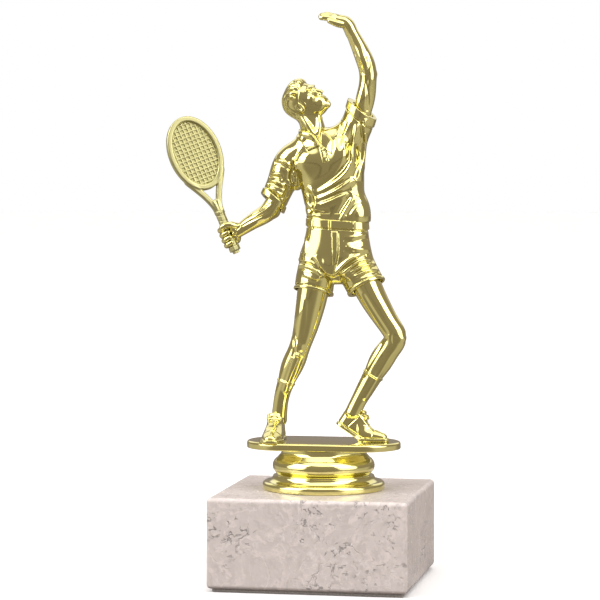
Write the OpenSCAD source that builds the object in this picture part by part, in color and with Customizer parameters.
// Figure trophy: a moulded tennis player, serving, on a turned riser that is bolted to a marble block.
// Millimetres. +Z is up and -Y is the front. The origin is the centre of the underside.

/* [Block] */
// Width of the marble block, left to right
block_w = 60; // [54:1:80]
// Depth of the marble block, front to back
block_d = 60; // [54:1:80]
// Height of the marble block
block_h = 27; // [24:1:40]
// Width of the small flat ground on every edge of the block
block_chamfer = 0.8; // [0.4:0.1:1.5]
// Thickness of the felt sheet under the block
felt_t = 1; // [0.8:0.1:2]

/* [Riser] */
// Radius of the riser's foot
riser_r = 18.6; // [17:0.2:24]
// Height of the riser
riser_h = 12.4; // [12:0.2:16]
// Wall of the hollow riser
riser_wall = 1.8; // [1.4:0.1:2.2]

/* [Foot plate] */
// Length of the plate that the figure stands on, end to end
plate_l = 47; // [45:1:54]
// Depth of the plate
plate_d = 25; // [24:1:30]
// Thickness of the plate
plate_t = 2.2; // [2:0.1:3]

/* [Figure] */
// Height from the plate to the top of the raised hand
figure_h = 129; // [120:1:135]
// Wall of the hollow trunk
figure_wall = 2; // [1.6:0.1:2.6]

/* [Racket] */
// Length of the racket, from butt to tip
racket_l = 44; // [41:0.5:46]
// Outer width of the racket's head
racket_w = 16.4; // [15:0.2:19]
// Lean of the racket from upright, towards the left
racket_lean = 23; // [18:1:26]
// Turn of the racket's face about its own length, towards the right
racket_turn = 28; // [0:1:40]

/* [Hidden] */

GOLD = "goldenrod";
STEEL = "silver";
ROUND = 64; // facets of a plain round part
BODY = 16; // facets of a ball in the figure

// Heights of the stack, from the underside up
block_top = felt_t + block_h;
riser_top = block_top + riser_h;
plate_top = riser_top + plate_t;

// M6 hardware
rod_r = 2.95;
thread_r = 3;
clear_r = 3.4;
nut_af = 10;
nut_h = 5;
washer_r = 9;
washer_t = 1.6;
recess_r = 11;
recess_h = 9;
rod_tail = 1; // rod that shows past the lower nut
pocket_floor = 7; // captive nut's seat above the block
pocket_gap = 0.1; // clearance round the captive nut
boss_r = 7.5;
rib_t = 1.2;
rib_count = 6;

// Pegs that key the cemented joints
plate_pegs = [[-10, 0], [10, 0]];
plate_peg_r = 1.2;
plate_peg_h = 1.6;
shoe_pegs = [[-15.6, -4], [13.5, -1.4]];
shoe_peg_r = 1;
half_pegs = [[-3.6, 42], [14.8, 43.5], [-3.2, 93.5]];
half_peg_r = 0.9;
half_peg_h = 1.5;
peg_gap = 0.1;

// Every joint of the figure is [x, y, z, radius, depth / width], in millimetres above the
// plate's centre, on a figure of this height
drawn_h = 129;

trunk = [
    [4, 0, 56, 10.3, 0.62], [4.2, 0, 65, 9.2, 0.66],
    [2.4, 0, 76, 9.7, 0.64], [0.8, 0, 85, 8.4, 0.64]
];
trunk_core = [
    [4, 0, 60, 8.6, 0.62], [4.2, 0, 65, 8.4, 0.66],
    [2.2, 0, 76, 8.8, 0.64], [1, 0, 82, 7, 0.64]
];
neck = [[-4.4, 0, 99, 3.4, 1], [-3, 0, 91, 3.9, 1]];
skull = [[-7.4, 0, 103.4, 5.5, 0.86], [-4, 0, 102.8, 4.6, 0.9], [-0.9, 0, 102, 2.4, 1.2]];

right_sleeve = [[-4, 0, 88, 5.2, 1], [-10.8, 0, 82.4, 4.8, 0.95], [-16, 0.6, 73, 4.2, 1]];
right_forearm = [[-17.2, 0.8, 70.6, 2.9, 1], [-21, 0.4, 67.6, 2.6, 1], [-26, 0, 64.4, 1.8, 1]];
right_fist = [[-27.6, 0, 63.4, 2.4, 1], [-29.4, 0, 61.8, 2.9, 0.95]];

left_sleeve = [[2, 0, 88, 5.5, 1], [9, 0, 91.5, 5, 0.95], [11.7, 0, 99.8, 4.3, 0.95]];
left_arm = [
    [12.2, 0, 100, 3, 1], [13.4, 0, 109.5, 2.7, 1],
    [10.4, 0, 118, 2.4, 1], [7.5, 0, 125, 1.8, 1]
];
left_hand = [[7, 0, 125.6, 1.7, 1.2], [3.4, 0, 127.4, 1.5, 2.2], [-0.6, 0, 128.1, 0.9, 3]];

right_short = [[-0.6, 0, 55, 7.8, 0.8], [-3.8, 0, 46.5, 5.4, 1]];
left_short = [[8.6, 0, 55, 7.8, 0.8], [13.3, 0, 47, 5.4, 1]];
right_leg = [
    [-3, 0, 46, 4.8, 1], [-5.4, -0.3, 35.3, 3.8, 1], [-7.4, -0.6, 27.7, 3.3, 1],
    [-10.4, 0.4, 20.6, 3.3, 1], [-13.4, 0.8, 11.5, 2.2, 1]
];
left_leg = [
    [13.6, 0, 46.5, 4.9, 1], [19.4, 0, 37.6, 4, 1], [21.5, 0, 32.3, 3.5, 1],
    [18.6, 0, 26.4, 3.6, 1], [15.4, 0, 20.4, 3, 1], [10.2, 0, 12.2, 2.4, 1]
];
right_shoe = [
    [-14, 1, 9.4, 2.6, 1], [-14.7, 1.6, 2.9, 2.9, 1],
    [-15.8, -4.4, 2.3, 3.1, 1], [-16.6, -8, 1.7, 2.6, 1]
];
left_shoe = [
    [9.2, 0, 10.6, 2.8, 1], [6.4, 0, 6.8, 2.7, 1],
    [11.6, 0, 3.6, 3, 1], [17.4, 0, 1.6, 2, 1.3]
];

grip_z = 61.9; // height of the racket's grip in the fist, above the plate
grip_x = -29.2;
grip_from_butt = 4.9; // the fist's middle, from the butt
fist_gap = 0.05;

// Racket, along its own length from the butt
racket_deep = 2.2;
rim_w = 1.7;
head_l = 23.6;
handle_l = 13;
handle_r = 1.4;
shaft_r = 1.05;
bed_t = 0.7;
throat_bow = 3.4; // half the gap between the throat's arms, at the head

// Blocks, plates and discs

module bevelled_rect(w, d, c)
    polygon([
        [-w / 2 + c, -d / 2], [w / 2 - c, -d / 2], [w / 2, -d / 2 + c], [w / 2, d / 2 - c],
        [w / 2 - c, d / 2], [-w / 2 + c, d / 2], [-w / 2, d / 2 - c], [-w / 2, -d / 2 + c]
    ]);

module bevelled_block(w, d, h, c)
    intersection() {
        linear_extrude(h) bevelled_rect(w, d, c);
        translate([0, d, h / 2]) rotate([90, 0, 0]) linear_extrude(2 * d) bevelled_rect(w, h, c);
        translate([-w, 0, h / 2]) rotate([90, 0, 90]) linear_extrude(2 * w) bevelled_rect(d, h, c);
    }

module hexagon(across_flats, h) cylinder(r = across_flats / sqrt(3), h = h, $fn = 6);

module nut()
    difference() {
        hexagon(nut_af, nut_h);
        translate([0, 0, -1]) cylinder(r = thread_r, h = nut_h + 2, $fn = ROUND);
    }

module stadium(l, d) {
    square([l - d, d], center = true);
    for (side = [-1, 1]) translate([side * (l - d) / 2, 0]) circle(r = d / 2, $fn = ROUND);
}

function arc(centre, r, from, to, steps) =
    [for (i = [0:steps]) let (a = from + (to - from) * i / steps) centre + r * [cos(a), sin(a)]];

// Balls and the limbs between them

module ball(joint)
    translate([joint.x, joint.y, joint.z])
        scale([1, joint[4], 1]) sphere(r = joint[3], $fn = BODY);

module limb(joints)
    for (i = [0:len(joints) - 2])
        hull() {
            ball(joints[i]);
            ball(joints[i + 1]);
        }

module on_plate() translate([0, 0, plate_top]) scale(figure_h / drawn_h) children();

// Stone, felt and steel

module marble_block()
    color("lavenderblush") translate([0, 0, felt_t]) difference() {
        bevelled_block(block_w, block_d, block_h, block_chamfer);
        translate([0, 0, -1]) cylinder(r = clear_r, h = block_h + 2, $fn = ROUND);
        translate([0, 0, -1]) cylinder(r = recess_r, h = recess_h + 1, $fn = ROUND);
    }

module base_felt()
    color("lightgray") linear_extrude(felt_t) bevelled_rect(block_w - 3, block_d - 3, 1);

recess_top = felt_t + recess_h;

module clamp_washer()
    color(STEEL) translate([0, 0, recess_top - washer_t]) difference() {
        cylinder(r = washer_r, h = washer_t, $fn = ROUND);
        translate([0, 0, -1]) cylinder(r = clear_r - 0.2, h = washer_t + 2, $fn = ROUND);
    }

nut_bottom = recess_top - washer_t - nut_h;

module clamp_nut() color(STEEL) translate([0, 0, nut_bottom]) nut();

captive_z = block_top + pocket_floor;

module captive_nut() color(STEEL) translate([0, 0, captive_z]) nut();

module threaded_rod()
    color(STEEL) translate([0, 0, nut_bottom - rod_tail])
        cylinder(r = rod_r, h = captive_z + nut_h - nut_bottom + rod_tail - 0.4, $fn = ROUND);

// Riser: a hollow moulding with the profile of a turned spool

neck_r = riser_r - 5.8;
bead_r = riser_r - 3.1;
quirk_r = riser_r - 4.3;

riser_outline = concat(
    [[riser_r, 0]],
    arc([riser_r - 1.2, 1.2], 1.2, 0, 60, 4),
    arc([riser_r - 1.2, 4.3], 2.2, 250, 185, 6),
    arc([quirk_r + 0.5, 4.5], 0.6, 200, 150, 3),
    arc([bead_r - 2.7, 7.2], 2.7, -48, 55, 8),
    [[neck_r + 0.5, riser_h - 1.4], [neck_r, riser_h - 0.6], [neck_r, riser_h]]
);

riser_hollow = [
    [0, -1], [riser_r - riser_wall, -1], [riser_r - riser_wall, 0.8], [quirk_r - riser_wall, 3.6],
    [quirk_r - riser_wall, riser_h - 4], [neck_r - riser_wall, riser_h - 2.4], [0, riser_h - 2.4]
];

module riser()
    color(GOLD) translate([0, 0, block_top]) difference() {
        union() {
            difference() {
                rotate_extrude($fn = ROUND) polygon(concat([[0, 0]], riser_outline, [[0, riser_h]]));
                rotate_extrude($fn = ROUND) polygon(riser_hollow);
            }
            cylinder(r = boss_r, h = riser_h - 1, $fn = ROUND);
            for (i = [0:rib_count - 1])
                rotate([0, 0, i * 360 / rib_count])
                    translate([boss_r - 1, -rib_t / 2, 1]) cube([quirk_r - boss_r, rib_t, riser_h - 3]);
        }
        translate([0, 0, -1]) cylinder(r = clear_r - 0.2, h = riser_h + 2, $fn = ROUND);
        translate([0, 0, pocket_floor]) hexagon(nut_af + 2 * pocket_gap, riser_h);
        for (peg = plate_pegs)
            translate([peg.x, peg.y, riser_h - plate_peg_h - 0.2])
                cylinder(r = plate_peg_r + peg_gap, h = riser_h, $fn = ROUND);
    }

module foot_plate()
    color(GOLD) {
        translate([0, 0, riser_top]) difference() {
            linear_extrude(plate_t) stadium(plate_l, plate_d);
            for (peg = shoe_pegs)
                translate([peg.x, peg.y, -1])
                    cylinder(r = shoe_peg_r + peg_gap, h = plate_t + 2, $fn = ROUND);
        }
        for (peg = plate_pegs)
            translate([peg.x, peg.y, riser_top - plate_peg_h])
                cylinder(r = plate_peg_r, h = plate_peg_h + 0.5, $fn = ROUND);
    }

// Figure: two half shells that meet on the plane Y = 0 and trap the racket's grip

module player()
    difference() {
        union() {
            for (part = [
                trunk, neck, skull, right_sleeve, right_forearm, right_fist, left_sleeve, left_arm,
                left_hand, right_short, left_short, right_leg, left_leg, right_shoe, left_shoe
            ]) limb(part);
        }
        trunk_hollow();
        translate([-50, -50, -20]) cube([100, 100, 20]);
    }

// The trunk's hollow is its core taken in by the wall
module trunk_hollow()
    limb([for (j = trunk_core) [j.x, j.y, j.z, j[3] - figure_wall, j[4] * 0.94]]);

module half(side)
    intersection() {
        player();
        translate([-50, side > 0 ? 0 : -50, -1]) cube([100, 50, 140]);
    }

module half_peg(peg, r, h)
    translate([peg.x, 0, peg.y])
        rotate([90, 0, 0]) cylinder(r = r, h = h, center = true, $fn = 24);

module figure_front()
    color(GOLD) difference() {
        union() {
            on_plate() half(-1);
            on_plate() for (peg = half_pegs) half_peg(peg, half_peg_r, 2 * half_peg_h);
            for (peg = shoe_pegs)
                translate([peg.x, peg.y, riser_top]) cylinder(r = shoe_peg_r, h = plate_t + 1, $fn = 24);
        }
        racket_grip();
    }

module figure_back()
    color(GOLD) difference() {
        on_plate() half(1);
        on_plate() for (peg = half_pegs) half_peg(peg, half_peg_r + peg_gap, 2 * half_peg_h + peg_gap);
        racket_grip();
    }

// Racket: one moulding, whose strings are a ribbed sheet

module in_hand()
    translate([grip_x, 0, plate_top + grip_z]) rotate([0, -racket_lean, 0]) rotate([0, 0, racket_turn])
        translate([0, 0, -grip_from_butt]) children();

module racket_grip()
    in_hand() translate([0, 0, -1]) cylinder(r = handle_r + fist_gap, h = handle_l + 1, $fn = 24);

module ellipse(w, l)
    polygon([for (i = [0:47]) let (a = i * 7.5) [w / 2 * cos(a), l / 2 * sin(a)]]);

module flat_in_face(thick)
    rotate([90, 0, 0]) linear_extrude(thick, center = true) children();

module racket() {
    head_z = racket_l - head_l / 2;
    color(GOLD) in_hand() {
        translate([0, 0, head_z]) {
            flat_in_face(racket_deep) difference() {
                ellipse(racket_w, head_l);
                ellipse(racket_w - 2 * rim_w, head_l - 2 * rim_w);
            }
            flat_in_face(bed_t) ellipse(racket_w - rim_w, head_l - rim_w);
        }
        flat_in_face(racket_deep * 0.9) difference() {
            polygon([
                [-shaft_r, handle_l - 1], [shaft_r, handle_l - 1],
                [throat_bow + rim_w, head_z - head_l * 0.43], [throat_bow, head_z - head_l * 0.38],
                [-throat_bow, head_z - head_l * 0.38], [-throat_bow - rim_w, head_z - head_l * 0.43]
            ]);
            translate([0, head_z]) ellipse(racket_w - rim_w, head_l - rim_w);
            polygon([
                [0, handle_l + 2.2], [throat_bow - 0.6, head_z - head_l * 0.5 - 0.3],
                [-throat_bow + 0.6, head_z - head_l * 0.5 - 0.3]
            ]);
        }
        cylinder(r = handle_r, h = handle_l, $fn = 24);
    }
}

marble_block();
base_felt();
clamp_nut();
clamp_washer();
threaded_rod();
captive_nut();
riser();
foot_plate();
figure_front();
figure_back();
racket();
